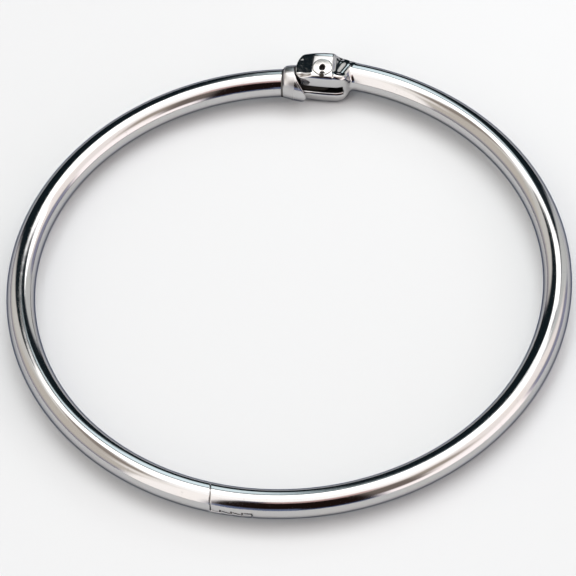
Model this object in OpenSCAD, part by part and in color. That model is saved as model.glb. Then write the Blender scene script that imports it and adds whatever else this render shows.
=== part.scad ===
// Hinged binder ring: two half rings of plated round wire. They turn on one rivet,
// where a fork on one half takes the tongue of the other, and they hook together
// at the far side of the ring, where each end is cut to half its thickness.
//
// The rivet's axis is Z through the origin. The hinge is straight and lies along X,
// with the fork half on +X, the tongue half on -X and the ring on the -Y side.
// It rests on z = 0 and is shown closed.

/* [Ring] */
// Diameter of the wire
wire_d = 4.3; // [3.8:0.1:4.8]
// Bend radius of the fork half, to the middle of its wire
bend_r = 40.7; // [20:0.1:60]
// How much tighter than that the tongue half is bent
bend_step = 1.2; // [0.9:0.1:1.5]
// Turn between the straight hinge and the bend of the wire at the rivet, in degrees
hinge_skew = 3.2; // [0:0.1:5]

/* [Fork] */
// Thickness over both ears
fork_h = 6.6; // [6:0.1:7.2]
// Distance from the rivet's axis to the fork's inner face
fork_in = 2.15; // [1.8:0.05:2.4]
// Distance from the rivet's axis to the fork's outer face
fork_out = 3.2; // [3:0.05:3.6]
// Half the length of the flats round the rivet
flat_half = 1.8; // [1.6:0.1:2.4]
// How far each ear slopes down from its flat to its free end
ear_drop = 0.45; // [0:0.05:0.6]
// Where each ear's face begins to slope towards the fork's inner face, from the rivet
inner_start = 0.8; // [0.4:0.1:1.4]
// How far each ear's face has dropped where it meets the inner face
inner_drop = 0.4; // [0:0.05:0.6]
// Radius of the fork's barrel at its thickest, before the flats are pressed
barrel_r = 4; // [3.85:0.05:4.2]
// Where the barrel is thickest, from the rivet towards the arm
barrel_mid = 1; // [0:0.1:2]
// Radius of the curve along the barrel's side
barrel_curve_r = 22.5; // [18:0.5:60]
// How far the rivet's axis lies inside the line of the fork half's wire
rivet_inset = 1.6; // [1.3:0.1:1.9]
// Radius of the ears' free ends, about the rivet
ear_r = 4.2; // [3.9:0.1:5]
// Radius of the swollen outer side, seen from above
bulge_r = 20; // [16:1:60]
// Where the inner corner beside the arm begins, from the rivet
corner_start = 1.8; // [1.4:0.1:3]
// Radius of that corner
corner_r = 3.7; // [2.8:0.1:4]
// Where the fork begins to run out into its wire, from the rivet
runout_start = 4.7; // [4.2:0.1:6]
// Length of the run-out
runout_len = 2.1; // [1.8:0.1:4]
// Where the run-out's inner edge stands on the wire, from the rivet outwards
runout_in = 0.3; // [0:0.1:0.8]

/* [Tongue] */
// Thickness of the tongue
tongue_t = 1.3; // [0.9:0.05:1.8]
// Radius of its round end, about the rivet
tongue_r = 1.85; // [1.6:0.05:2.1]
// Clearance above and below the tongue in the fork's slot
slot_gap = 0.11; // [0.09:0.01:0.2]
// Space left between the tongue's end and the closed end of the slot
slot_relief = 1.3; // [0.3:0.1:1.6]

/* [Collar] */
// How far the collar stands out of the wire beside the ears
collar_rise = 0.95; // [0.4:0.05:1]
// How far it stands out of the wire at the crease where it begins
crease_rise = 0.15; // [0.1:0.05:0.3]
// Length of the collar along the wire, clear of the ears' sweep
collar_len = 1.8; // [1.4:0.1:4]
// Gap between the ears' free ends and the collar
shoulder_gap = 0.14; // [0.12:0.01:0.3]

/* [Rivet] */
// Diameter of the shank
shank_d = 2; // [1.6:0.1:2.3]
// Clearance of the shank in the holes of the tongue and the ears, on the radius
shank_gap = 0.05; // [0.04:0.01:0.08]
// Diameter of the set head
head_d = 3.1; // [2.8:0.1:3.5]
// Height of the head's rim
rim_h = 0.12; // [0.1:0.01:0.3]
// Height of the head's dome above its rim
dome_h = 0.2; // [0.1:0.01:0.4]
// Diameter of the punch mark in the head
punch_d = 0.9; // [0.5:0.1:1.2]
// Depth of the punch mark
punch_depth = 0.4; // [0.2:0.05:0.8]
// Diameter of the flush end in the lower ear
flush_d = 3; // [2.6:0.1:3.4]
// Depth of the flush end's cone
flush_depth = 0.8; // [0.5:0.05:1.2]
// Clearance under the head and round the flush end
seat_gap = 0.03; // [0.02:0.01:0.05]

/* [Snap] */
// Length of the lap where the ends are cut to half their thickness
lap_len = 6; // [5:0.1:9]
// How far the lap's middle lies towards the tongue half from opposite the hinge, in degrees
lap_turn = 2.4; // [0:0.1:5]
// Turn of the lap's cuts about the upright, from square across the wire, in degrees
lap_skew = 10; // [0:1:15]
// Number of hook teeth on each end
tooth_count = 3; // [2:1:4]
// Spacing of the teeth
tooth_pitch = 1.6; // [1.2:0.1:1.6]
// Height of a tooth
tooth_h = 0.55; // [0.3:0.05:0.8]
// Clearance between the hooked ends
snap_gap = 0.12; // [0.08:0.01:0.2]
// Radius of the rounded shoulder where each end drops to half its thickness
shoulder_r = 12; // [3.4:0.1:20]

/* [Hidden] */
$fn = 96;
nickel = [0.78, 0.78, 0.76];
rivet_nickel = [0.7, 0.69, 0.66];
// How far a cutter runs past what it cuts, and a joined piece into its neighbour
past = 1;

wire_r = wire_d / 2;
mid_z = fork_h / 2;
// Distances of the two bends' centres from the rivet, along the ring's middle line
fork_centre = bend_r - rivet_inset;
tongue_centre = fork_centre + bend_step;
tongue_bend_r = bend_r - bend_step;
// Where the middles of the tongue and of the fork lie, from the rivet outwards
tongue_line = tongue_bend_r - tongue_centre;
fork_line = (fork_out - fork_in) / 2;
collar_r = wire_r + collar_rise;
crease_r = wire_r + crease_rise;
// Everything of the collar stays outside the circle that the ears sweep
sweep_r = ear_r + shoulder_gap;
crease_x = -sweep_r - collar_len;
slot_h = tongue_t + 2 * slot_gap;
slot_end = tongue_r + slot_relief;
hole_r = shank_d / 2 + shank_gap;

// Angle at which the lap's middle lies, from the bends' centres
lap_end = 270 - lap_turn;

// Angle taken up by a length along a bend
function turn(length, r) = length / r * 180 / PI;

// Wire of the given radius bent about the origin, between two angles
module bent_bar(bar_r, r, from, to) {
    rotate_extrude(start = from, angle = to - from) translate([r, 0]) circle(r = bar_r);
}

// Round bar along +X that keeps its radius at the origin and curves in to a smaller end
module ogive(big_r, small_r, length) {
    drop = big_r - small_r;
    arc_r = (length * length + drop * drop) / (2 * drop);
    rotate([0, 90, 0]) rotate_extrude() intersection() {
        translate([big_r - arc_r, 0]) circle(r = arc_r);
        square([big_r, length]);
    }
}

// Moves to the centre of a bend, at the height of the wire's middle
module at_centre(distance) {
    rotate(-hinge_skew) translate([0, -distance, mid_z]) children();
}

// Moves to the lap: x along the wire towards the fork half, z up from the wire's middle
module at_lap() {
    at_centre(fork_centre) rotate(-lap_turn) translate([0, -bend_r, 0]) rotate(lap_skew) children();
}

// What is cut off the tongue half's end: the upper half of the lap down to the hook teeth,
// and everything past the tip. Each tooth has its upright face towards its own half, so
// the teeth hold when the ends are pulled apart. The full wire ends at a rounded shoulder.
// Turned over, it cuts the fork half.
module end_cut() {
    reach = wire_r + past;
    shoulder = -(lap_len + snap_gap) / 2;
    tip = (lap_len - snap_gap) / 2;
    low = -(tooth_h + snap_gap) / 2;
    high = (tooth_h - snap_gap) / 2;
    first = (snap_gap - (tooth_count - 1) * tooth_pitch) / 2;
    teeth = [for (i = [0 : tooth_count - 1]) each
        [[first + i * tooth_pitch, low], [first + i * tooth_pitch, high]]];
    difference() {
        rotate([90, 0, 0]) linear_extrude(2 * reach, center = true) polygon(concat(
            [[shoulder - past, reach], [shoulder - past, low]],
            teeth,
            [[tip, high], [tip, -reach], [tip + reach, -reach], [tip + reach, reach]]
        ));
        translate([shoulder - shoulder_r, 0, -reach]) cylinder(r = shoulder_r, h = 2 * reach);
    }
}

module tongue_arm() {
    color(nickel) difference() {
        union() {
            at_centre(tongue_centre)
                bent_bar(wire_r, tongue_bend_r, 90 + turn(-crease_x - past / 2, tongue_bend_r),
                    lap_end + turn(lap_len / 2 + past, tongue_bend_r));
            collar();
            translate([0, 0, mid_z - tongue_t / 2]) linear_extrude(tongue_t) tongue_plan();
        }
        at_lap() end_cut();
        cylinder(r = hole_r, h = fork_h);
    }
}

// Swollen end of the tongue half's wire, hollowed where the ears sweep past
module collar() {
    difference() {
        translate([0, tongue_line, mid_z]) mirror([1, 0, 0]) ogive(collar_r, crease_r, -crease_x);
        translate([0, 0, -past]) cylinder(r = sweep_r, h = fork_h + 2 * past);
    }
}

// Outline of the tongue, from inside the collar to its round end
module tongue_plan() {
    circle(r = tongue_r);
    translate([-sweep_r - past / 2, -tongue_r]) square([sweep_r + past / 2, 2 * tongue_r]);
}

module fork_arm() {
    color(nickel) difference() {
        union() {
            at_centre(fork_centre)
                bent_bar(wire_r, bend_r, lap_end - 360 - turn(lap_len / 2 + past, bend_r),
                    90 - turn(runout_start, bend_r));
            fork_head();
        }
        at_lap() rotate([0, 180, 0]) end_cut();
        translate([-sweep_r, -sweep_r, mid_z - slot_h / 2]) cube([sweep_r + slot_end, 2 * sweep_r, slot_h]);
        translate([0, 0, -past]) cylinder(r = hole_r, h = fork_h + 2 * past);
        flush_cone(seat_gap);
    }
}

// Thickened end of the fork half: a barrel pressed flat round the rivet, which slopes
// away to the ears' free ends and runs out into the wire on the other side
module fork_head() {
    shoulder = runout_start - barrel_mid;
    runout_r = barrel_r - barrel_curve_r + sqrt(barrel_curve_r * barrel_curve_r - shoulder * shoulder);
    intersection() {
        translate([0, fork_line, mid_z]) {
            rotate([0, 90, 0]) rotate_extrude() intersection() {
                translate([barrel_r - barrel_curve_r, barrel_mid]) circle(r = barrel_curve_r, $fn = 360);
                translate([0, -ear_r - past]) square([barrel_r, ear_r + past + runout_start]);
            }
            translate([runout_start, 0, 0]) rotate([0, 90, 0])
                cylinder(r1 = runout_r, r2 = wire_r, h = runout_len);
        }
        linear_extrude(fork_h) fork_plan();
        translate([0, 0, mid_z]) rotate([90, 0, 0]) linear_extrude(4 * barrel_r, center = true)
            fork_side();
        translate([0, 0, mid_z]) rotate([90, 0, 90])
            linear_extrude(4 * (runout_start + runout_len), center = true) fork_section();
    }
}

// Outline of the fork seen from above
module fork_plan() {
    reach = runout_start + runout_len + past;
    intersection() {
        translate([0, fork_out - bulge_r]) circle(r = bulge_r, $fn = 360);
        translate([-reach, -fork_in]) square(2 * reach);
        union() {
            intersection() {
                circle(r = ear_r);
                translate([-2 * reach, -reach]) square(2 * reach);
            }
            translate([0, -fork_in]) square([corner_start, 2 * reach]);
            translate([corner_start, corner_r - fork_in]) circle(r = corner_r);
            translate([corner_start, runout_in]) square(2 * reach);
        }
    }
}

// Outline of the fork seen from the side, about the wire's middle
module fork_side() {
    half = fork_h / 2;
    end_x = ear_r + past;
    end_half = half - ear_drop * (end_x - flat_half) / (ear_r - flat_half);
    tip_x = runout_start + runout_len;
    polygon([[-end_x, -end_half], [-flat_half, -half], [flat_half, -half], [tip_x, -wire_r],
        [tip_x, wire_r], [flat_half, half], [-flat_half, half], [-end_x, end_half]]);
}

// Outline of the fork seen along the hinge, about the wire's middle: each face is flat
// outside and round the rivet and slopes down to the inner face
module fork_section() {
    half = fork_h / 2;
    inner_half = half - inner_drop;
    polygon([[-fork_in, -inner_half], [-inner_start, -half], [2 * barrel_r, -half],
        [2 * barrel_r, half], [-inner_start, half], [-fork_in, inner_half]]);
}

// Cone of the rivet's flush end, larger by a clearance
module flush_cone(gap) {
    slope = (flush_d - shank_d) / 2 / flush_depth;
    translate([0, 0, -past])
        cylinder(r1 = flush_d / 2 + gap + slope * past, r2 = shank_d / 2 + gap, h = flush_depth + past);
}

module hinge_rivet() {
    head_r = head_d / 2;
    dome_r = (head_r * head_r + dome_h * dome_h) / (2 * dome_h);
    head_z = fork_h + seat_gap;
    color(rivet_nickel) difference() {
        union() {
            cylinder(r = shank_d / 2, h = head_z + rim_h);
            intersection() {
                flush_cone(0);
                cylinder(r = flush_d, h = fork_h);
            }
            translate([0, 0, head_z]) intersection() {
                cylinder(r = head_r, h = rim_h + dome_h);
                translate([0, 0, rim_h + dome_h - dome_r]) sphere(r = dome_r);
            }
        }
        translate([0, 0, head_z + rim_h + dome_h - punch_depth])
            cylinder(r1 = 0, r2 = punch_d / 2, h = punch_depth);
    }
}

tongue_arm();
fork_arm();
hinge_rivet();
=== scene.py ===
# %% [markdown]
# # A hinged binder ring in nickel-plated steel
# The ring is two half rings of round wire. One half ends in a fork, the other in a
# collar with a thin tongue, and a rivet joins the two. At the far side each end is cut
# to half its thickness and carries three small hook teeth.
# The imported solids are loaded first. They fix every place and main size: a piece is
# made in the same frame and stands in for its solid.

# %% Load the frame
import math
import bmesh
import bpy
import numpy as np
from mathutils import Matrix, Vector


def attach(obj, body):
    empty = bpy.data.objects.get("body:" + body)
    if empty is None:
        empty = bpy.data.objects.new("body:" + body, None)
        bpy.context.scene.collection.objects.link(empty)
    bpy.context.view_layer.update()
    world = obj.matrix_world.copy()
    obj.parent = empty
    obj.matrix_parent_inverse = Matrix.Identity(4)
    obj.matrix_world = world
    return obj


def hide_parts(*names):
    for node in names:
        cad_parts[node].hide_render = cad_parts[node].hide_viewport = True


bpy.context.scene.view_settings.view_transform = "Standard"
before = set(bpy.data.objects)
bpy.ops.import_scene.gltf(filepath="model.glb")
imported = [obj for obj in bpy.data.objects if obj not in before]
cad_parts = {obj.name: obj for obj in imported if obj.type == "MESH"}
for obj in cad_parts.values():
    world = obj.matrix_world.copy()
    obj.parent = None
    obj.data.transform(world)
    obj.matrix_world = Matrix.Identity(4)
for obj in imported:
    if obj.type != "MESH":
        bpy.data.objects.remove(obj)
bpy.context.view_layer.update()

# %% [markdown]
# ## Sizes
# The wire, the two bends and the hinge have the sizes of the solids, in millimetres.
# The rivet's axis is Z through the origin. A bend's centre lies on a line from the
# rivet that is turned a little, because the hinge itself is straight.

# %% Sizes of the ring, in millimetres
WIRE_R = 2.15
FORK_H = 6.6
MID = FORK_H / 2
SKEW = math.radians(3.2)
FORK_BEND, TONGUE_BEND = 40.7, 39.5
FORK_REACH, TONGUE_REACH = 39.1, 40.3


def bend_centre(reach):
    return np.array([-reach * math.sin(SKEW), -reach * math.cos(SKEW), MID])


FORK_CENTRE, TONGUE_CENTRE = bend_centre(FORK_REACH), bend_centre(TONGUE_REACH)
print("bend centres:", FORK_CENTRE.round(2), TONGUE_CENTRE.round(2))

# %% [markdown]
# ## Forms as distance functions
# A pressed and plated part has no truly sharp edge and no clean plane. Bevels on
# boolean results are fragile, so the ends are described by distance: a function gives
# how far a point is outside the metal, negative inside. A smooth maximum of two such
# distances is their overlap with a rounded edge, and a smooth minimum joins them with
# a fillet. The k in each is the width of that rounding.

# %% Smooth joins
def overlap(a, b, k):
    h = np.maximum(k - np.abs(a - b), 0) / k
    return np.maximum(a, b) + h * h * k / 4


def merge(a, b, k):
    return -overlap(-a, -b, k)


def cut(a, b, k):
    return overlap(a, -b, k)


print("an edge with a rounding of 1 mm lies in by", overlap(0.0, 0.0, 1.0), "mm")


# %% Simple distances
def bent_wire(p, centre, bend):
    q = p - centre
    return np.hypot(np.hypot(q[..., 0], q[..., 1]) - bend, q[..., 2]) - WIRE_R


def disc(x, y, cx, cy, r):
    return np.hypot(x - cx, y - cy) - r


def blob(p, place, size):
    """Rough distance to an ellipsoid, good enough for a shallow dent."""
    q = np.sqrt((((p - np.array(place)) / np.array(size)) ** 2).sum(-1))
    return (q - 1) * min(size)


print("middle of the wire:", bent_wire(FORK_CENTRE + (FORK_BEND, 0, 0), FORK_CENTRE, FORK_BEND), "mm")

# %% [markdown]
# ## From a distance to a mesh
# A surface net samples the distance on a grid, puts one point in each cell that the
# surface crosses and joins neighbours with quads. Each point then slides down the
# slope of the distance until it lies on the true surface, which takes away the steps
# of the grid, so reflections run cleanly over it. Metaballs or a remesh modifier would
# also give a closed skin, but neither of them keeps to a size.

# %% The distance on a grid
CORNERS = [(a, b, c) for a in (0, 1) for b in (0, 1) for c in (0, 1)]


def sample(distance, low, high, step):
    """Distance at every corner of the grid, worked out slice by slice."""
    n = np.ceil((high - low) / step).astype(int) + 1
    axes = [low[i] + step * np.arange(n[i]) for i in range(3)]
    yy, zz = np.meshgrid(axes[1], axes[2], indexing="ij")
    field = np.empty(n)
    for i, x in enumerate(axes[0]):
        field[i] = distance(np.stack([np.full_like(yy, x), yy, zz], -1))
    return field


def crossed_cells(inside):
    """Cells with some of their corners in the metal and some outside."""
    count = 0
    for corner in CORNERS:
        part = tuple(slice(o, o + m - 1) for o, m in zip(corner, inside.shape))
        count = count + inside[part].astype(np.int8)
    return np.argwhere((count > 0) & (count < len(CORNERS)))


print("corners of a cell:", len(CORNERS))


# %% One point in each crossed cell
def cell_points(field, cells, low, step):
    """Mean of the places where the edges of each cell meet the surface."""
    total, hits = np.zeros((len(cells), 3)), np.zeros(len(cells))
    for c in CORNERS:
        for axis in range(3):
            if c[axis]:
                continue
            d = tuple(1 if i == axis else v for i, v in enumerate(c))
            va, vb = field[tuple((cells + c).T)], field[tuple((cells + d).T)]
            crossed = (va < 0) != (vb < 0)
            t = np.where(crossed, va / np.where(crossed, va - vb, 1), 0)
            point = cells + np.array(c, float)
            point[:, axis] += t
            total[crossed] += point[crossed]
            hits += crossed
    return low + step * total / hits[:, None]


# %% One quad round each crossed edge of the grid
def cell_quads(inside, cells):
    n = inside.shape
    number = np.full([m - 1 for m in n], -1)
    number[tuple(cells.T)] = np.arange(len(cells))
    quads = []
    for axis in range(3):
        u, v = (axis + 1) % 3, (axis + 2) % 3
        first, second = [slice(None)] * 3, [slice(None)] * 3
        first[axis], second[axis] = slice(0, -1), slice(1, None)
        a, b = inside[tuple(first)], inside[tuple(second)]
        edges = np.argwhere(a != b)
        eu, ev = edges[:, u], edges[:, v]
        edges = edges[(eu > 0) & (ev > 0) & (eu < n[u] - 1) & (ev < n[v] - 1)]
        flip = ~a[tuple(edges.T)]
        ring = []
        for du, dv in ((1, 1), (0, 1), (0, 0), (1, 0)):
            e = edges.copy()
            e[:, u] -= du
            e[:, v] -= dv
            ring.append(number[tuple(e.T)])
        ring = np.stack(ring, 1)
        ring[flip] = ring[flip][:, ::-1]
        quads.append(ring)
    return np.concatenate(quads)


# %% Slide the points on to the surface
PASSES, SLOPE_STEP, LEAST_SLOPE = 4, 0.004, 0.05


def slope_at(distance, points):
    slope = []
    for axis in range(3):
        shift = np.zeros(3)
        shift[axis] = SLOPE_STEP
        slope.append((distance(points + shift) - distance(points - shift)) / (2 * SLOPE_STEP))
    return np.stack(slope, -1)


def surface_net(distance, low, high, step):
    """Points and quads of the surface inside a box, all in millimetres."""
    low, high = np.array(low, float), np.array(high, float)
    field = sample(distance, low, high, step)
    inside = field < 0
    cells = crossed_cells(inside)
    points, quads = cell_points(field, cells, low, step), cell_quads(inside, cells)
    for _ in range(PASSES):
        value, slope = distance(points), slope_at(distance, points)
        move = slope * (value / np.maximum((slope**2).sum(-1), LEAST_SLOPE))[:, None]
        points -= np.clip(move, -step / 2, step / 2)
    return points, quads


print("each net is smoothed in", PASSES, "passes")

# %% [markdown]
# ## The fork
# The fork half's wire is upset to a barrel, pressed flat above and below round the
# rivet, and slotted into two ears. On the inside of the ring its corner is round, and
# towards the wire the barrel runs out. Extruded outlines with bevels would give the
# flats but not the run-out, so each face is one more overlap of distances.

# %% Sizes of the fork, in millimetres
BARREL_R, BARREL_MID, BARREL_CURVE = 4.0, 1.0, 22.5
FORK_IN, FORK_OUT, BULGE_R = 2.15, 3.2, 20.0
FLAT_HALF, EAR_R, EAR_DROP = 1.8, 4.2, 0.45
RUNOUT_START, RUNOUT_LEN, RUNOUT_IN = 4.7, 2.1, 0.3
TIP = RUNOUT_START + RUNOUT_LEN
SLOT_HALF, SLOT_END, HOLE_R = 0.76, 3.15, 1.05
GRID = 0.09
FAR = 9.0
print("fork: from", -EAR_R, "to", round(TIP, 2), "mm along the wire")


# %% Soft steps
def ramp(t, width):
    """Zero before t = 0 and t after it, with a soft start."""
    return (t + np.sqrt(t * t + width * width)) / 2


def step_up(t, width):
    """0 to 1 over a width round t = 0."""
    t = np.clip(t / width + 0.5, 0, 1)
    return t * t * (3 - 2 * t)


print("middle of a soft step:", step_up(0.0, 1.0))


# %% The barrel
def bow(r, curve, t):
    """Radius at t of a barrel that is r thick in its middle, on an arc of radius curve."""
    return r - curve + np.sqrt(curve**2 - t**2)


def barrel(x, y, z):
    """The upset end before it is pressed, with its bulge outwards and the round of its ears."""
    full = bow(BARREL_R, BARREL_CURVE, np.clip(x - BARREL_MID, -FAR, RUNOUT_START - BARREL_MID))
    neck = bow(BARREL_R, BARREL_CURVE, RUNOUT_START - BARREL_MID)
    full = np.where(x > RUNOUT_START, neck + (WIRE_R - neck) * (x - RUNOUT_START) / RUNOUT_LEN, full)
    head = np.hypot(y - (FORK_OUT - FORK_IN) / 2, z) - full
    head = overlap(head, disc(x, y, 0, FORK_OUT - BULGE_R, BULGE_R), 0.5)
    head = overlap(head, x - TIP, 0.1)
    return overlap(head, np.where(x < 0, disc(x, y, 0, 0, EAR_R), -FAR), 0.2)


neck_r = bow(BARREL_R, BARREL_CURVE, RUNOUT_START - BARREL_MID)
print("radius where the barrel runs out:", round(float(neck_r), 2), "mm")

# %% [markdown]
# ## The marks of the press
# A press seldom leaves a clean flat. The top falls a little towards the inside of the
# ring. Both faces are pressed deeper beyond the middle flat: towards the ears' end the
# recess is worn and uneven, and towards the wire it is deeper and pleated. These are
# far too fine for the solids. A bump map would shade them but leave the outline plain,
# so they are changes of height in the form itself.

# %% Sizes of the press marks, in millimetres
CROWN_START, CROWN_SLOPE, CROWN_BEND = 2.2, 0.045, 0.003
RUNOUT_LEAD, RUNOUT_SHORT = 0.3, 0.9
EAR_MARK_X, EAR_MARK_Y, EAR_MARK_DEEP, EAR_MARK_WEAR = 2.2, 1.6, 0.16, 0.014
WIRE_MARK_X, WIRE_MARK_Y, WIRE_MARK_DEEP = 1.75, 0.85, 0.36
PLEAT_DEEP, PLEAT_RATE, PLEAT_ALONG, PLEAT_ACROSS, PLEAT_SHIFT = 0.045, 5.2, 0.91, 0.42, 0.6
PLEAT_START, PLEAT_END = 2.4, 6.3
print("a pleat every", round(2 * math.pi / PLEAT_RATE, 2), "mm")


# %% Height of the pressed faces
def ripple(x, y, scale):
    """Uneven waves between -1 and 1, as a worn press leaves them."""
    along = np.sin(x * scale + 1.7 * np.sin(y * scale * 0.6))
    return along * np.sin(y * scale * 1.1 + 1.3 * np.sin(x * scale * 0.7))


def crown(y):
    """How far the pressed top falls towards the inside of the ring."""
    t = np.maximum(CROWN_START - y, 0)
    return CROWN_SLOPE * t + CROWN_BEND * t * t


def wire_mark(x):
    """1 past the middle flat, towards the wire."""
    return step_up(x - WIRE_MARK_X, 0.5)


def pleats(x, y):
    wave = PLEAT_DEEP * np.sin(PLEAT_RATE * (PLEAT_ALONG * x - PLEAT_ACROSS * y) + PLEAT_SHIFT)
    return wave * (1 - step_up(x - PLEAT_END, 1.2)) * step_up(x - PLEAT_START, 0.8)


def pressed_height(x, y):
    """Half the height between the pressed faces."""
    height = MID - EAR_DROP * ramp(-x - FLAT_HALF, 0.8) / (EAR_R - FLAT_HALF)
    height -= (MID - WIRE_R) * ramp(x - FLAT_HALF + RUNOUT_LEAD, 0.2) / (TIP - FLAT_HALF - RUNOUT_SHORT)
    ear_mark = step_up(y + EAR_MARK_Y, 0.35) * step_up(-x - EAR_MARK_X, 1.6)
    height -= ear_mark * (EAR_MARK_DEEP + EAR_MARK_WEAR * ripple(x, y, 3.0))
    height -= wire_mark(x) * step_up(y + WIRE_MARK_Y, 1.2) * (WIRE_MARK_DEEP + pleats(x, y))
    return height


print("the top falls by", round(float(crown(-FORK_IN)), 2), "mm to the inside of the ring")

# %% [markdown]
# ## The fork's outer and inner edges
# Each pressed face ends in a chamfer on the outside of the ring and in a taper on the
# inside. The inner side is slightly bowed and turns through a large round corner.

# %% Distance to the fork's end of its half ring
CHAMFER_Y, CHAMFER_BACK, CHAMFER_X = 2.6, 0.85, 2.0
CHAMFER_OUT, CHAMFER_UP = 0.38, 0.925
TAPER_Y, TAPER_END, TAPER_DROP = 1.35, 0.8, 0.4
TAPER_SLOPE = TAPER_DROP / (FORK_IN - TAPER_END)
CORNER_START, CORNER_R, INNER_CURVE = 1.8, 3.7, 38.0
WIRE_OVERLAP = 0.6


def inner_side(x, y):
    corner = disc(x, y, CORNER_START, CORNER_R - FORK_IN, CORNER_R)
    corner = np.where(y < CORNER_R - FORK_IN, corner, x - CORNER_START - CORNER_R)
    face = -FORK_IN - y + (x - CORNER_START) ** 2 / (2 * INNER_CURVE)
    runout = np.maximum(CORNER_START - x, RUNOUT_IN - y)
    return merge(np.where(x < CORNER_START, face, corner), runout, 0.8)


def pressed_head(x, y, z):
    """The barrel between its pressed faces, with its chamfer, taper and inner side."""
    height = pressed_height(x, y)
    fall = np.where(z > 0, crown(y) * (1 - wire_mark(x)), 0)
    head = overlap(barrel(x, y, z), np.abs(z) - height + fall, 0.14)
    start = CHAMFER_Y - CHAMFER_BACK * step_up(x - CHAMFER_X, 1.4)
    head = overlap(head, (y - start) * CHAMFER_OUT + (np.abs(z) - height) * CHAMFER_UP, 0.16)
    taper = (np.abs(z) - MID + TAPER_SLOPE * (-y - TAPER_Y)) / math.hypot(1, TAPER_SLOPE)
    head = overlap(head, taper, 0.25)
    return overlap(head, inner_side(x, y), 1.0 + 1.4 * step_up(x - 4.0, 1.6))


def fork_end(p):
    x, y, z = p[..., 0], p[..., 1], p[..., 2] - MID
    wire = np.maximum(bent_wire(p, FORK_CENTRE, FORK_BEND), RUNOUT_START - WIRE_OVERLAP - x)
    head = merge(pressed_head(x, y, z), wire, 0.25 + 0.15 * step_up(-0.2 - y, 1.0))
    slot = np.maximum(np.abs(z) - SLOT_HALF, x - SLOT_END)
    head = cut(head, slot, 0.45 - 0.2 * np.tanh(z / 0.3))
    return cut(head, np.hypot(x, y) - HOLE_R, 0.12)


fork_net = surface_net(fork_end, (-4.7, -2.6, -0.3), (9.6, 5.0, 6.9), GRID)
print("fork end:", len(fork_net[0]), "points")

# %% [markdown]
# ## The tongue and its collar
# The other half's wire swells to a collar just before the hinge, and a thin tongue goes
# on from it into the slot. The collar is hollowed where the ears sweep past it, with the
# ears' radius and a clearance, so it is cut with a cylinder round the rivet. A lathed
# collar would be simpler, but it has a hump on top where the metal was pushed up.

# %% Distance to the tongue's end of its half ring
COLLAR_R, CREASE_R, SWEEP_R = WIRE_R + 0.95, WIRE_R + 0.15, 4.34
CREASE_X, COLLAR_Y = -SWEEP_R - 1.8, -0.8
HUMP, HUMP_START, HUMP_END, HUMP_Z = 0.22, 0.2, 1.5, 1.5
TONGUE_HALF, TONGUE_R = 0.65, 1.65


def collar(x, y, z):
    drop = COLLAR_R - CREASE_R
    curve = (CREASE_X**2 + drop**2) / (2 * drop)
    hump = HUMP * step_up(x - CREASE_X - HUMP_START, 0.4) * (1 - step_up(x - CREASE_X - HUMP_END, 2.5))
    full = bow(COLLAR_R, curve, np.clip(x, -FAR, 0)) + hump * step_up(z - HUMP_Z, 1.4)
    body = overlap(np.hypot(y - COLLAR_Y, z) - full, CREASE_X - x, 0.12)
    return cut(body, np.hypot(x, y) - SWEEP_R, 0.25)


def tongue(x, y, z):
    strip = np.maximum(np.maximum(np.abs(y) - TONGUE_R, x), CREASE_X + 1 - x)
    plate = overlap(np.minimum(np.hypot(x, y) - TONGUE_R, strip), np.abs(z) - TONGUE_HALF, 0.2)
    return cut(plate, np.hypot(x, y) - HOLE_R, 0.1)


def tongue_end(p):
    x, y, z = p[..., 0], p[..., 1], p[..., 2] - MID
    wire = np.maximum(bent_wire(p, TONGUE_CENTRE, TONGUE_BEND), x - CREASE_X - 0.5)
    return merge(merge(collar(x, y, z), wire, 0.12), tongue(x, y, z), 0.3)


tongue_net = surface_net(tongue_end, (-10.4, -4.4, -0.1), (2.1, 3.0, 6.7), GRID)
print("tongue end:", len(tongue_net[0]), "points")

# %% [markdown]
# ## The hooked ends
# Both free ends are cut by one saw-toothed profile, each from its own side, so the
# teeth of one lie in the gaps of the other. Two drawn outlines could drift apart, and
# one profile can't. It is a polygon, and the distance to a polygon is the least
# distance to its edges, negative inside.

# %% The saw-toothed profile
LAP_LEN, LAP_TURN, LAP_SKEW = 6.0, math.radians(2.4), math.radians(10)
TOOTH_COUNT, TOOTH_PITCH, TOOTH_H, SNAP_GAP = 3, 1.6, 0.55, 0.12
SHOULDER_R, SEAM_GAP, SEAM_SHIFT = 60.0, 0.04, 1.0
PAST_WIRE = 4.0
SEAM_X, LAP_TIP = -(LAP_LEN + SEAM_GAP) / 2, (LAP_LEN - SEAM_GAP) / 2


def saw_profile():
    low, high = -(TOOTH_H + SNAP_GAP) / 2, (TOOTH_H - SNAP_GAP) / 2
    first = (SNAP_GAP - (TOOTH_COUNT - 1) * TOOTH_PITCH) / 2
    teeth = [(first + i * TOOTH_PITCH, v) for i in range(TOOTH_COUNT) for v in (low, high)]
    before = [(SEAM_X - 1, PAST_WIRE), (SEAM_X - 1, low)]
    after = [(LAP_TIP, -PAST_WIRE), (LAP_TIP + LAP_LEN, -PAST_WIRE), (LAP_TIP + LAP_LEN, PAST_WIRE)]
    return [*before, *teeth, (LAP_TIP, high), *after]


def polygon_distance(x, y, corners):
    best, sign = np.full(x.shape, np.inf), np.ones(x.shape)
    for (ax, ay), (bx, by) in zip(corners, corners[1:] + corners[:1]):
        ex, ey = bx - ax, by - ay
        t = np.clip(((x - ax) * ex + (y - ay) * ey) / (ex * ex + ey * ey), 0, 1)
        best = np.minimum(best, np.hypot(x - ax - t * ex, y - ay - t * ey))
        crossing = ((ay > y) != (by > y)) & (x < ex * (y - ay) / (ey or 1) + ax)
        sign = np.where(crossing, -sign, sign)
    return best * sign


print("corners of the profile:", len(saw_profile()))

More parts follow.
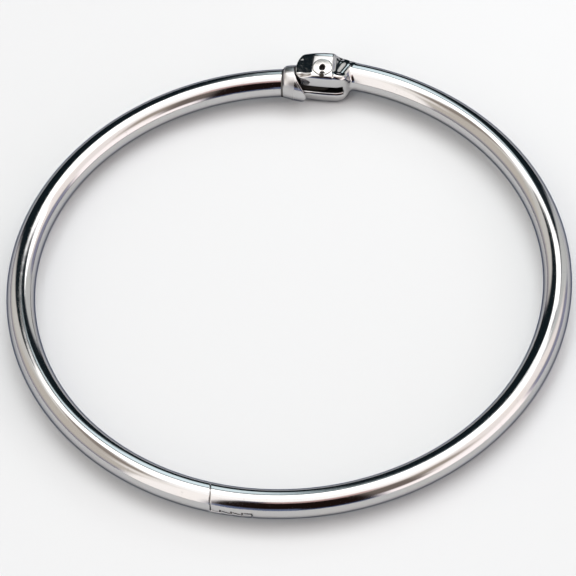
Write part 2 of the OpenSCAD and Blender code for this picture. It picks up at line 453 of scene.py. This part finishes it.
# %% [markdown]
# ## The lap
# Where the two ends meet, the cut runs a little askew to the wire. Each end is worked
# out in the lap's own frame, so the profile stays a plain drawing. Lower down, the
# edges are rounder and the face is unevenly worn, and two small dents, one past the
# teeth and one on the seam, are marks of handling.

# %% Distance to the two hooked ends
LAP_ANGLE = -SKEW - LAP_TURN
LAP_CENTRE = FORK_CENTRE + FORK_BEND * np.array([math.sin(LAP_ANGLE), -math.cos(LAP_ANGLE), 0])
NICKS = (((3.0, -2.0, 0.1), (0.36, 0.4, 0.36)), ((SEAM_X, -1.9, 0.7), (0.28, 0.5, 0.9)))
WORN_DEEP, WORN_SCALE = 0.006, 4.0


def to_lap(p):
    """A place in the ring as one at the lap: x along the wire, z up from its middle."""
    q, a = p - LAP_CENTRE, LAP_ANGLE + LAP_SKEW
    along = q[..., 0] * math.cos(a) + q[..., 1] * math.sin(a)
    across = q[..., 1] * math.cos(a) - q[..., 0] * math.sin(a)
    return np.stack([along, across, q[..., 2]], -1)


def hooked(p, centre, bend, over):
    """over is 1 for the half whose teeth point down, -1 for the other."""
    q = to_lap(p)
    x, y, z = q[..., 0], q[..., 1], q[..., 2]
    away = polygon_distance(x * over, z * over, saw_profile())
    shoulder = SHOULDER_R - np.hypot(x * over - SEAM_X + SHOULDER_R, y - SEAM_SHIFT * over)
    away = np.maximum(away, shoulder)
    for place, size in NICKS:
        away = np.minimum(away, blob(q, place, size))
    soft = 0.26 - 0.2 * step_up(z - 0.3, 0.8)
    worn = WORN_DEEP * ripple(x, z * 1.5, WORN_SCALE) * (1 - step_up(np.abs(x) - 3.4, 1.4))
    worn = worn * (1 - step_up(z - 0.9, 0.8))
    return cut(bent_wire(p, centre, bend) - worn, away, soft)


def tongue_hook(p):
    return hooked(p, TONGUE_CENTRE, TONGUE_BEND, 1)


def fork_hook(p):
    return hooked(p, FORK_CENTRE, FORK_BEND, -1)


# %% Nets of the two hooked ends
HOOK_SIDE, WIRE_SIDE = 4.5, 7.4


def lap_net(distance, before, after):
    low, high = (LAP_CENTRE[0] - before, -83.5, 0.9), (LAP_CENTRE[0] + after, -75.5, 5.7)
    return surface_net(distance, low, high, GRID)


tongue_lap_net = lap_net(tongue_hook, WIRE_SIDE, HOOK_SIDE)
fork_lap_net = lap_net(fork_hook, HOOK_SIDE, WIRE_SIDE)
print("hooked ends:", len(tongue_lap_net[0]), len(fork_lap_net[0]), "points")

# %% [markdown]
# ## The rivet
# A soft rivet is set with a punch: its head spreads to a low dome that follows the
# fork's sloping top, and the punch leaves one mark in the middle and a second where it
# slipped towards the inside of the ring. Below, the rivet fills a cone and is flush. A
# turned profile would be round all over, so the marks are cut from the distance.

# %% Distance to the rivet
HEAD_Z, RIM_H, DOME_H, HEAD_R, SHANK_R = 6.63, 0.12, 0.03, 1.55, 1.0
FOOT_R, FOOT_NARROWS, FOOT_H, FOOT_TOP = 1.5, 0.5, 0.8, 1.2
HEAD_TOP = HEAD_Z + RIM_H + DOME_H
PUNCH_MARKS = (((-0.03, -0.1, HEAD_TOP), (0.42, 0.6, 0.95)),
               ((0.05, -1.3, HEAD_TOP - 0.1), (0.38, 0.42, 0.6)))


def rivet_head(r, z):
    dome_r = (HEAD_R**2 + DOME_H**2) / (2 * DOME_H)
    dome = np.hypot(r, z - HEAD_Z - RIM_H - DOME_H + dome_r) - dome_r
    return overlap(overlap(dome, r - HEAD_R, 0.16), HEAD_Z - z, 0.05)


def rivet(p):
    z = p[..., 2] + crown(p[..., 1]) * step_up(p[..., 2] - 5.0, 1.0)
    r = np.hypot(p[..., 0], p[..., 1])
    shank = np.maximum(r - SHANK_R, z - HEAD_Z - 0.1)
    foot = np.maximum(r - FOOT_R + z * FOOT_NARROWS / FOOT_H, z - FOOT_TOP)
    body = merge(merge(shank, rivet_head(r, z), 0.05), foot, 0.05)
    body = overlap(body, -z, 0.06)
    for place, size in PUNCH_MARKS:
        body = cut(body, blob(p, place, size), 0.1)
    return body


rivet_net = surface_net(rivet, (-1.75, -1.75, -0.2), (1.75, 1.75, 7.2), 0.06)
print("rivet:", len(rivet_net[0]), "points")

# %% [markdown]
# ## The bent wire, by Geometry Nodes
# Most of each half ring is plain wire on one bend, which is what a curve with a profile
# makes best: an arc, a circle swept along it, and nothing else. The tree has its sizes
# as named inputs, so one tree serves both halves.

# %% A tree that sweeps round wire along a bend
WIRE_INPUTS = {"Bend": "Float", "Wire radius": "Float", "Start": "Float", "Sweep": "Float",
               "Centre": "Vector", "Along": "Int", "Around": "Int", "Finish": "Material"}


def wire_tree():
    tree = bpy.data.node_groups.new("bent_wire", "GeometryNodeTree")
    for name, kind in WIRE_INPUTS.items():
        tree.interface.new_socket(name, in_out="INPUT", socket_type="NodeSocket" + kind)
    tree.interface.new_socket("Geometry", in_out="OUTPUT", socket_type="NodeSocketGeometry")
    given, out = tree.nodes.new("NodeGroupInput").outputs, tree.nodes.new("NodeGroupOutput")

    def step(kind, **links):
        node = tree.nodes.new("GeometryNode" + kind)
        for name, source in links.items():
            tree.links.new(source, node.inputs[name.replace("_", " ")])
        return node.outputs[0]

    arc = step("CurveArc", Resolution=given["Along"], Radius=given["Bend"],
               Start_Angle=given["Start"], Sweep_Angle=given["Sweep"])
    ring = step("CurvePrimitiveCircle", Resolution=given["Around"], Radius=given["Wire radius"])
    tube = step("CurveToMesh", Curve=arc, Profile_Curve=ring)
    tube = step("Transform", Geometry=tube, Translation=given["Centre"])
    tube = step("RealizeInstances", Geometry=tube)
    tube = step("SetMaterial", Geometry=tube, Material=given["Finish"])
    tree.links.new(tube, out.inputs[0])
    return tree


WIRE_TREE = wire_tree()
print("nodes in the tree:", len(WIRE_TREE.nodes))


# %% Plain mesh of the wire
AROUND = 112


def wire_mesh(centre, bend, span, finish):
    """The wire on a bend, between two angles in degrees, with about one ring of edges a degree."""
    start, end = span
    carrier = bpy.data.objects.new("wire_carrier", bpy.data.meshes.new("wire_carrier"))
    bpy.context.scene.collection.objects.link(carrier)
    modifier = carrier.modifiers.new("wire", "NODES")
    modifier.node_group = WIRE_TREE
    values = {"Bend": bend / 1000, "Wire radius": WIRE_R / 1000, "Start": math.radians(start),
              "Sweep": math.radians(end - start), "Centre": tuple(centre / 1000),
              "Along": int(end - start), "Around": AROUND, "Finish": finish}
    for item in WIRE_TREE.interface.items_tree:
        if item.item_type == "SOCKET" and item.in_out == "INPUT":
            modifier[item.identifier] = values[item.name]
    graph = bpy.context.evaluated_depsgraph_get()
    mesh = bpy.data.meshes.new_from_object(carrier.evaluated_get(graph))
    bpy.data.objects.remove(carrier)
    return mesh


# %% [markdown]
# ## One skin for each half ring
# The two worked ends and the wire between them become one closed skin. Each end is
# trimmed on a plane across the wire, and the open ring of edges there is bridged to the
# first ring of the swept wire. Both lie on the same round surface, so no seam shows. A
# boolean union would leave slivers there, because the surfaces lie in one another.

# %% From a net to a piece
def net_mesh(net, name):
    mesh = bpy.data.meshes.new(name)
    mesh.from_pydata((net[0] / 1000).tolist(), [], net[1].tolist())
    return mesh


def piece_from(bm, name, finish):
    bmesh.ops.recalc_face_normals(bm, faces=bm.faces)
    mesh = bpy.data.meshes.new(name)
    bm.to_mesh(mesh)
    bm.free()
    mesh.materials.append(finish)
    mesh.polygons.foreach_set("material_index", [0] * len(mesh.polygons))
    mesh.shade_smooth()
    piece = bpy.data.objects.new(name, mesh)
    bpy.context.scene.collection.objects.link(piece)
    return piece


# %% Trim an end on a plane across the wire
JOINT_GAP = 0.12


def trimmed(net, centre, bend, angle, side):
    """Mesh of an end, with a small gap left to bridge. side is 1 where it lies past the angle."""
    bm, mesh = bmesh.new(), net_mesh(net, "end")
    bm.from_mesh(mesh)
    a = math.radians(angle + side * math.degrees(JOINT_GAP / bend))
    everything = bm.verts[:] + bm.edges[:] + bm.faces[:]
    bmesh.ops.bisect_plane(bm, geom=everything, dist=1e-8, plane_co=centre / 1000,
                           plane_no=(math.sin(a) * side, -math.cos(a) * side, 0), clear_outer=True)
    bm.to_mesh(mesh)
    bm.free()
    return mesh


# %% Bridge the open rings
def rings_of(bm):
    """Open rings of edges, each as a list of edges."""
    left, rings = dict.fromkeys(e for e in bm.edges if e.is_boundary), []
    while left:
        ring, todo = [], [left.popitem()[0]]
        while todo:
            edge = todo.pop()
            ring.append(edge)
            for v in edge.verts:
                for other in v.link_edges:
                    if other in left:
                        left.pop(other)
                        todo.append(other)
        rings.append(ring)
    return rings


def middle(ring):
    ends = [v.co for edge in ring for v in edge.verts]
    return sum(ends, start=Vector()) / len(ends)


def bridge_nearest(bm):
    rings = rings_of(bm)
    print("open rings:", [len(r) for r in rings])
    while rings:
        ring = rings.pop()
        other = min(rings, key=lambda r: (middle(r) - middle(ring)).length)
        rings.remove(other)
        bmesh.ops.bridge_loops(bm, edges=ring + other)


def half_ring(name, centre, bend, nets, span, finish):
    """nets and span: the net at each end of the wire, and the angle at which it joins."""
    bm = bmesh.new()
    meshes = [trimmed(net, centre, bend, *joint) for net, *joint in zip(nets, span, (-1, 1))]
    for mesh in (*meshes, wire_mesh(centre, bend, span, finish)):
        bm.from_mesh(mesh)
        bpy.data.meshes.remove(mesh)
    bridge_nearest(bm)
    print(name, "faces:", len(bm.faces), "open edges left:", sum(e.is_boundary for e in bm.edges))
    return piece_from(bm, name, finish)


# %% [markdown]
# ## Shader maths as Python
# Long chains of Math nodes are hard to read. A small class wraps a socket, and its
# operators add the Math nodes, so a mask can be written as 1 - a * b. Everything else
# comes from one method that makes any node.

# %% A socket with operators
class Value:
    def __init__(self, tree, socket):
        self.tree, self.socket = tree, socket

    def maths(self, operation, *others):
        return Nodes(self.tree).make("ShaderNodeMath", {"operation": operation}, self, *others)

    def __add__(self, other): return self.maths("ADD", other)
    def __radd__(self, other): return self.maths("ADD", other)
    def __mul__(self, other): return self.maths("MULTIPLY", other)
    def __rmul__(self, other): return self.maths("MULTIPLY", other)
    def __sub__(self, other): return self.maths("SUBTRACT", other)
    def __rsub__(self, other): return (self * -1).maths("ADD", other)


# %% One method for any node
class Nodes:
    def __init__(self, tree):
        self.tree = tree

    def make(self, kind, settings=None, *values, out=0, **named):
        """values go to the sockets in order, and None leaves a socket alone."""
        node = self.tree.nodes.new(kind)
        for key, setting in (settings or {}).items():
            setattr(node, key, setting)
        for key, value in [*enumerate(values), *named.items()]:
            socket = node.inputs[key]
            if isinstance(value, Value):
                self.tree.links.new(value.socket, socket)
            elif value is not None:
                socket.default_value = (*value, 1) if socket.type == "RGBA" else value
        return Value(self.tree, node.outputs[out])

    def smooth(self, value, low, high):
        settings = {"interpolation_type": "SMOOTHSTEP"}
        return self.make("ShaderNodeMapRange", settings, value, low, high, 0.0, 1.0)

    def blend(self, share, first, second):
        """Mix of two colours. A Mix node keeps its colours in sockets 6 and 7."""
        settings, unused = {"data_type": "RGBA", "clamp_factor": True}, [None] * 5
        return self.make("ShaderNodeMix", settings, share, *unused, first, second, out=2)

    def xyz(self, vector):
        node = self.make("ShaderNodeSeparateXYZ", None, vector).socket.node
        return [Value(self.tree, socket) for socket in node.outputs]


print("shader helpers ready")

# %% [markdown]
# ## Nickel plate
# Nickel is a metal, so its look is its reflections. Metallic is 1, the colour is a
# neutral grey, and the roughness is low. What makes it look real is what is uneven: the
# drawn wire's slow waves, faint polishing haze, and the fine specks and dulled spots of
# handling. They come from noises on Object coordinates, at sizes in metres. An image of
# scratches would need an unwrapped mesh and would repeat.

# %% The finish of the arms and of the rivet
# The first colour is painted shade. The masks lay it into the slot, the crease and the punch marks, and
# those masks also roughen the plate.
SHADE_COLOUR = (0.03, 0.026, 0.022)
SLOW_WAVES, SPOTS, HAZE, FINE_GRAIN = 170.0, 1500.0, 900.0, 5200.0
SPOT_SHADE, WARMTH = 0.72, (1.04, 1.0, 0.93)
HAZE_DULLS, SHADE_ROUGHENS, SATIN_DULLS = 0.05, 0.3, 0.2
EDGE_TINT = (0.03, 0.06, 0.15, 1)


def nickel(name, colour, rough, wave, speck, shade_mask, satin=None):
    """The first mask gives the share of painted shade, which also roughens the plate, and satin the share of
    dulled plate, at a place in millimetres.
    """
    material = bpy.data.materials.new(name)
    material.use_nodes = True
    tree = material.node_tree
    shader = tree.nodes["Principled BSDF"].inputs
    n = Nodes(tree)
    place = n.make("ShaderNodeTexCoord", out=3)

    def noise(scale, detail, roughness=0.5):
        return n.make("ShaderNodeTexNoise", {"noise_dimensions": "3D"}, Vector=place,
                      Scale=scale, Detail=detail, Roughness=roughness)

    slow, haze, fine = noise(SLOW_WAVES, 2.0), noise(HAZE, 3.0), noise(FINE_GRAIN, 2.0, 0.6)
    spots = n.smooth(noise(SPOTS, 4.0, 0.7), 0.6, 0.74)
    place_mm = [part * 1000 for part in n.xyz(place)]
    shade_share = shade_mask(n, *place_mm)
    tone = n.blend(spots * 0.5, colour, tuple(c * SPOT_SHADE for c in colour))
    warm = tuple(c * share for c, share in zip(colour, WARMTH))
    tone = n.blend(n.smooth(slow, 0.35, 0.7) * 0.25, tone, warm)
    # painted shade: the colour darkens towards the shade colour by the mask's share
    tone = n.blend(shade_share, tone, SHADE_COLOUR)
    roughness = rough + haze * HAZE_DULLS + spots * speck + shade_share * SHADE_ROUGHENS
    if satin:
        roughness = roughness + satin(n, *place_mm) * SATIN_DULLS
    height = slow * wave + haze * (wave * 0.06) + fine * (speck * 0.004)
    bump = n.make("ShaderNodeBump", None, Strength=1.0, Distance=0.001, Height=height)
    tree.links.new(tone.socket, shader["Base Color"])
    tree.links.new(roughness.socket, shader["Roughness"])
    tree.links.new(bump.socket, shader["Normal"])
    shader["Metallic"].default_value = 1.0
    shader["Specular Tint"].default_value = EDGE_TINT
    return material


# %% [markdown]
# ## Painted shade and dulled plate
# Painted shade darkens the colour where shade falls: in the slot and on the tongue in it,
# in the crease behind the collar, on the fork's top beside the rivet's near edge and on
# the rivet below its top, with its punch marks. These places are also made rougher. The
# collar is duller than the wire, because plate takes badly on metal that was pushed up.
# Each is a mask made from plain distances, so it stays in its place when a size of the
# noises changes.

# %% Masks near the hinge, in millimetres
def near_hinge(n, y):
    """1 at the hinge, and 0 at the lap, which has much the same x."""
    return n.smooth(y, -6.0, -5.0)


# Painted shade on the arms: darkens the slot and the tongue in it, the crease behind the collar, and the
# fork's top beside the rivet's near edge.
def hinge_shade(n, x, y, z):
    slot = 1 - n.smooth((z - MID).maths("ABSOLUTE"), SLOT_HALF - 0.02, SLOT_HALF + 0.06)
    slot = slot * n.smooth(x, -4.4, -4.2) * (1 - n.smooth(x, 3.2, 3.35)) * n.smooth(y, -2.25, -2.0)
    crease = 1 - n.smooth((x - CREASE_X).maths("ABSOLUTE"), 0.1, 0.22)
    reach = (x * x + (y + 1.5) * (y + 1.5)).maths("SQRT")
    slip_mark_shade = (1 - n.smooth(reach, 0.3, 0.48)) * n.smooth(z, 6.1, 6.2)
    return (slot + crease * 0.8 + slip_mark_shade) * near_hinge(n, y)


# Painted shade on the rivet: darkens everything below its top, which covers the punch marks' hollows, the
# head's lower near edge, and the hidden shank and foot.
def rivet_shade(n, x, y, z):
    return (1 - n.smooth(z, 6.35, 6.6)) * 0.9


def collar_satin(n, x, y, z):
    collar_only = n.smooth(x, CREASE_X - 0.1, CREASE_X + 0.1) * (1 - n.smooth(x, -4.3, -4.1))
    return collar_only * near_hinge(n, y)


NICKEL = nickel("nickel_plate", (0.52, 0.515, 0.515), 0.07, 0.02, 0.12, hinge_shade, collar_satin)
RIVET_NICKEL = nickel("rivet_nickel", (0.53, 0.52, 0.50), 0.14, 0.02, 0.2, rivet_shade)
print("finishes:", NICKEL.name, RIVET_NICKEL.name)

# %% [markdown]
# ## The pieces
# Each finished piece takes the place of one solid, with its mesh where the solid is. A
# span is the two angles, in degrees round the bend's centre, at which the wire starts
# and ends. Each end's net runs on a little past that angle, and is trimmed there.

# %% Make the pieces
FORK_SPAN, TONGUE_SPAN = (-88.3, 74.6), (99.25, 255.9)
fork_piece = half_ring("fork_half_ring", FORK_CENTRE, FORK_BEND, (fork_lap_net, fork_net), FORK_SPAN, NICKEL)
tongue_piece = half_ring("tongue_half_ring", TONGUE_CENTRE, TONGUE_BEND, (tongue_net, tongue_lap_net),
                         TONGUE_SPAN, NICKEL)
rivet_bm = bmesh.new()
rivet_bm.from_mesh(net_mesh(rivet_net, "rivet"))
rivet_piece = piece_from(rivet_bm, "set_rivet", RIVET_NICKEL)
for piece, node, body, slot in ((fork_piece, "fork_arm", "fork_half", "nickel_plate"),
                                (tongue_piece, "tongue_arm", "tongue_half", "nickel_plate"),
                                (rivet_piece, "hinge_rivet", "rivet", "rivet_nickel")):
    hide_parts(node)
    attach(piece, body)
    print(piece.name, len(piece.data.polygons), "faces")

# %% [markdown]
# ## Floor
# A plain pale sheet far larger than the ring, so that low views see no edge. Its colour
# is a little blue, because the room's light is a little warm.

# %% Floor
FLOOR_HALF = 6
floor_mesh = bpy.data.meshes.new("floor")
floor_corners = [(x * FLOOR_HALF, y * FLOOR_HALF, 0) for x, y in ((-1, -1), (1, -1), (1, 1), (-1, 1))]
floor_mesh.from_pydata(floor_corners, [], [(0, 1, 2, 3)])
floor = bpy.data.objects.new("floor", floor_mesh)
bpy.context.scene.collection.objects.link(floor)
paper = bpy.data.materials.new("pale_paper")
paper.use_nodes = True
paper_shader = paper.node_tree.nodes["Principled BSDF"].inputs
paper_shader["Base Color"].default_value = (0.775, 0.805, 0.825, 1)
paper_shader["Roughness"].default_value = 0.9
paper_shader["Specular IOR Level"].default_value = 0.0
floor_mesh.materials.append(paper)
print("floor:", 2 * FLOOR_HALF, "m wide")

# %% [markdown]
# ## Studio
# Polished metal shows the room, so the room is designed. Many lamps would leave hot
# dots along the wire, and an image of a room can't be tuned. A world shader works from
# the direction alone. It has two angles: one round the ring, 0 at the far side and
# growing to the right, and one up from the floor.

# %% Two angles of a direction, in degrees
CAMERA_TURN = math.radians(8.1)
CEILING_TILT = math.radians(10)
IN_DEGREES = 180 / math.pi
world = bpy.data.worlds.new("studio")
bpy.context.scene.world = world
world.use_nodes = True
w = Nodes(world.node_tree)
ray = w.make("ShaderNodeTexCoord", out=0)
ray = w.make("ShaderNodeMapping", {"vector_type": "POINT"}, ray, None, (0.0, 0.0, -CAMERA_TURN))
ray_x, ray_y, ray_z = w.xyz(ray)
around = ray_x.maths("ARCTAN2", ray_y) * IN_DEGREES
upward = ray_z.maths("ARCSINE") * IN_DEGREES
ceiling_up = (ray_y * math.sin(CEILING_TILT) + ray_z * math.cos(CEILING_TILT)).maths("ARCSINE") * IN_DEGREES


def band(angle, start, end, soft):
    """1 between two angles, with soft edges."""
    return w.smooth(angle, start - soft, start + soft) * (1 - w.smooth(angle, end - soft, end + soft))


def hang(room, panels):
    """Lays panels over the room, each over those before it."""
    for sideways, upright, colour in panels:
        room = w.blend(band(around, *sideways) * band(upward, *upright), room, colour)
    return room


print("room turned by", round(math.degrees(CAMERA_TURN), 1), "degrees")

# %% [markdown]
# ## Walls
# A panel is given by its start, its end and the softness of its edges, first round the
# ring and then upwards, and by its colour. The near side is two panels, because the
# angle jumps from 180 to -180 there. What counts are the dark gaps at the far and the
# near side, which draw the black lines along the wire, and the bright panels next to
# them.

# %% Walls, from the left round to the near side
LEFT, NEAR_RIGHT, NEAR_LEFT = (-124, -39, 7), (155, 190, 4), (-190, -150, 3)
NEAR_DARK = (0.010, 0.005, 0.004)
WALLS = (
    (LEFT, (-12, 95, 8), (0.22, 0.21, 0.27)),  # left wall, its foot
    (LEFT, (10, 95, 12), (0.54, 0.50, 0.445)),  # left wall
    ((-62, -39, 6), (14, 60, 12), (0.60, 0.59, 0.56)),  # its lighter end
    ((38, 60, 4), (-8, 52, 6), (0.54, 0.55, 0.54)),  # far end of the right wall
    ((58, 152, 6), (20, 95, 8), (0.93, 0.86, 0.83)),  # right wall
    ((60, 94, 6), (-12, 18, 6), (0.26, 0.26, 0.35)),  # its foot
    ((94, 153, 5), (-8, 28, 6), (1.2, 1.1, 1.1)),  # low light on the right
    ((112, 156, 8), (36, 58, 5), (0.38, 0.33, 0.29)),  # brown shelf above it
    ((134, 158, 6), (20, 58, 6), (0.17, 0.14, 0.125)),  # dark end of the shelf
    (NEAR_RIGHT, (6, 61, 5), NEAR_DARK),  # dark gap, near side
    (NEAR_LEFT, (6, 61, 5), NEAR_DARK),
    (NEAR_RIGHT, (-20, 6, 4), (0.06, 0.09, 0.18)),  # its blue foot
    (NEAR_LEFT, (-20, 14, 6), (0.13, 0.16, 0.26)),
    ((-150, -121, 3), (-4, 95, 5), (1.08, 1.03, 1.0)),  # tall light, near left
    ((-124, -106, 6), (42, 95, 8), (0.95, 0.90, 0.86)),  # its shine on the left wall
)
room = hang((0.10, 0.10, 0.15), WALLS)
print("walls:", len(WALLS), "panels")

# %% [markdown]
# ## Ceiling
# The ceiling is bright and tilted a little, and the main light hangs below it towards
# the far side. The far gap comes last, with one thin window in it, so that no other
# panel softens its edges.

# %% Ceiling, lights below it and the far gap
STRENGTH = 1.64
CEILING = (1.15, 1.13, 1.12)
WARM_BAND = (0.56, 0.37, 0.35)
PANELS = (
    ((-70, 70, 20), (54, 80, 6), (1.95, 1.94, 1.92)),  # main light
    ((-104, -44, 10), (54, 68, 4), (0.27, 0.23, 0.20)),  # beam on the left
    ((140, 190, 8), (60, 70, 4), WARM_BAND),  # top of the near gap
    ((-190, -165, 4), (60, 70, 4), WARM_BAND),
    ((-39, 38, 3), (-8, 54, 1.5), (0.005, 0.010, 0.013)),  # dark gap, far side
    ((0, 13, 3), (22, 50, 3), (0.80, 0.95, 1.0)),  # window in it
)
room = hang(w.blend(w.smooth(ceiling_up, 57, 62), room, CEILING), PANELS)
background = world.node_tree.nodes["Background"]
world.node_tree.links.new(room.socket, background.inputs["Color"])
background.inputs["Strength"].default_value = STRENGTH
print("nodes in the world:", len(world.node_tree.nodes))

# %% [markdown]
# ## A softbox
# A world alone shows every part of the ring the same room. One small softbox stands near
# enough to be seen by the right-hand half only, so the two halves differ as they do on a
# real table. It is weak, and its light on the floor is soft. An area lamp spreads its
# energy over four times its area, so the energy follows from how bright it should look.

# %% Softbox behind and above, on the right
turn = Matrix.Rotation(CAMERA_TURN, 3, "Z")
pivot = Vector(FORK_CENTRE / 1000)
SOFTBOX_PLACE, SOFTBOX_AIM = Vector((0.064, 0.078, 0.106)), Vector((0.064, 0, 0))
SOFTBOX_SIZE, SOFTBOX_GLOW = (0.068, 0.030), 1.8
softbox = bpy.data.objects.new("softbox", bpy.data.lights.new("softbox", "AREA"))
bpy.context.scene.collection.objects.link(softbox)
softbox.data.shape = "RECTANGLE"
softbox.data.size, softbox.data.size_y = SOFTBOX_SIZE
softbox.data.energy = 4 * SOFTBOX_SIZE[0] * SOFTBOX_SIZE[1] * SOFTBOX_GLOW
softbox.location = pivot + turn @ SOFTBOX_PLACE
softbox.rotation_mode = "QUATERNION"
softbox.rotation_quaternion = (turn @ (SOFTBOX_AIM - SOFTBOX_PLACE)).to_track_quat("-Z", "Y")
softbox.visible_camera = False
print("softbox at", [round(v, 3) for v in softbox.location])

# %% [markdown]
# ## Camera
# A long lens from well away keeps the ring's outline an even oval. It looks down a
# little more steeply than halfway, and is rolled by a few degrees.

# %% Camera
DISTANCE, ELEVATION, ROLL = 0.6105, math.radians(52.66), math.radians(-3.35)
LOOK_AT = Vector((0.000301, -0.001738, 0))
SENSOR, LENS = 36, 254.65625
eye = pivot + turn @ Vector((0, -DISTANCE * math.cos(ELEVATION), DISTANCE * math.sin(ELEVATION)))
target = pivot + turn @ LOOK_AT
camera = bpy.data.objects.new("camera", bpy.data.cameras.new("camera"))
bpy.context.scene.collection.objects.link(camera)
bpy.context.scene.camera = camera
camera.data.sensor_width = SENSOR
camera.data.lens = LENS
camera.data.clip_start, camera.data.clip_end = 0.01, 30
camera.location = eye
camera.rotation_mode = "QUATERNION"
towards = (target - eye).to_track_quat("-Z", "Y")
camera.rotation_quaternion = towards @ Matrix.Rotation(ROLL, 3, "Z").to_quaternion()
print("camera:", round(LENS), "mm lens,", round((target - eye).length, 3), "m away")
